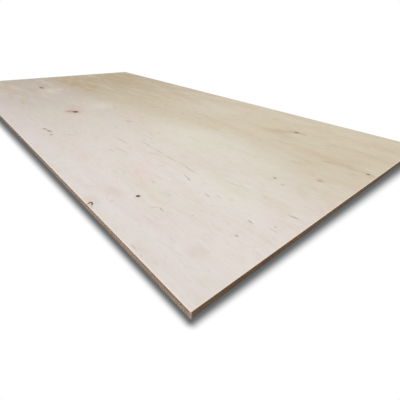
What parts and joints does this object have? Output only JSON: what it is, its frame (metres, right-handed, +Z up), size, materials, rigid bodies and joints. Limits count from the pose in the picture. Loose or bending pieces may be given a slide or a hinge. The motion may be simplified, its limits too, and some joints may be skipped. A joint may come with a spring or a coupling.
{
  "type": "plywood sheet",
  "caption": "Flat rectangular sheet of birch plywood with square sawn edges that show its cross-bonded veneers, used as a building board and raw stock.",
  "frame": {"origin": "middle of the back face, which lies on the floor", "axes": "+X along the sheet's length and face grain, +Y across its width, +Z up out of its best face"},
  "size_m": [2.44, 1.22, 0.018],
  "materials": {
    "birch_plywood": "sanded, unfinished birch veneer with sawn edges"
  },
  "bodies": {
    "root": {"plywood_sheet": "birch_plywood"}
  },
  "joints": []
}
